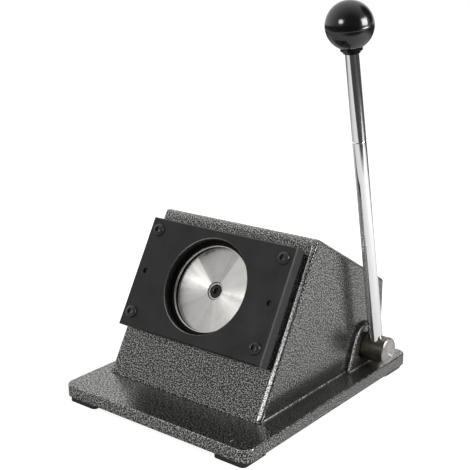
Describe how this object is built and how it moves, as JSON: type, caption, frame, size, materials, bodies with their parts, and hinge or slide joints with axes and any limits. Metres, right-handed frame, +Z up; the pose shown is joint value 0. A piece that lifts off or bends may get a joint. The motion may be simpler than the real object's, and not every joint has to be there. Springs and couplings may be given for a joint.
{
  "type": "lever circle die cutter",
  "caption": "Desk die cutter with a slanted round die, a lever-driven punch behind a paper slot and a cast housing on a flat base with rubber feet.",
  "frame": {"origin": "under the middle of the whole object's box, on the surface that the feet stand on", "axes": "+X to the lever side, +Y to the back, +Z up"},
  "size_m": [0.2214, 0.257, 0.3532],
  "materials": {
    "hammer_paint": "hammertone paint, dark grey and silver",
    "foot_rubber": "matte",
    "zinc_steel": "zinc plated",
    "black_steel": "black oxide, satin",
    "bush_bronze": "machined bronze",
    "tool_steel": "ground tool steel",
    "ground_steel": "ground in five facets",
    "spring_steel": "drawn wire",
    "shaft_steel": "oiled dark steel",
    "lever_chrome": "mirror chrome",
    "knob_plastic": "gloss black moulding",
    "insert_brass": "turned brass"
  },
  "bodies": {
    "frame": {"base_plate": "hammer_paint", "rubber_feet": "foot_rubber", "foot_screws": "zinc_steel", "housing": "hammer_paint", "body_screws": "black_steel", "bush_left": "bush_bronze", "bush_right": "bush_bronze", "guide_plate": "tool_steel", "spacer_left": "black_steel", "spacer_right": "black_steel", "die_plate": "black_steel", "die_ring": "tool_steel", "die_screws": "black_steel", "dowel_pins": "tool_steel", "guide_rods": "tool_steel", "rod_nuts": "zinc_steel", "return_springs": "spring_steel"},
    "lever": {"shaft": "shaft_steel", "cam": "shaft_steel", "cam_pin": "tool_steel", "shaft_collar": "shaft_steel", "collar_screw": "black_steel", "thrust_washer": "zinc_steel", "shaft_circlip": "spring_steel", "lever_rod": "lever_chrome", "knob": "knob_plastic", "knob_insert": "insert_brass", "knob_collar": "knob_plastic"},
    "ram": {"punch": "ground_steel", "punch_screw": "black_steel", "punch_washer": "zinc_steel", "ram": "shaft_steel", "roller_pin": "tool_steel", "pin_circlips": "spring_steel"},
    "roller": {"cam_roller": "tool_steel"}
  },
  "joints": [
    {"name": "lever_pivot", "type": "hinge", "parent": "frame", "child": "lever", "pos_m": [-0.01025, 0.07932, 0.0345], "axis": [1, 0, 0], "range_deg": [0, 65], "stiffness_Nm_per_rad": 1, "springref_deg": -54.43},
    {"name": "ram_slide", "type": "slide", "parent": "frame", "child": "ram", "axis": [0, -0.866, 0.5], "range_m": [0, 0.007], "deforming": ["return_springs"]},
    {"name": "roller_spin", "type": "hinge", "parent": "ram", "child": "roller", "pos_m": [-0.01025, 0.04641, 0.0535], "axis": [1, 0, 0], "continuous": true}
  ],
  "couplings": [
    {"joint": "ram_slide", "follows": "lever_pivot", "m_per_rad": 0.0061703}
  ]
}
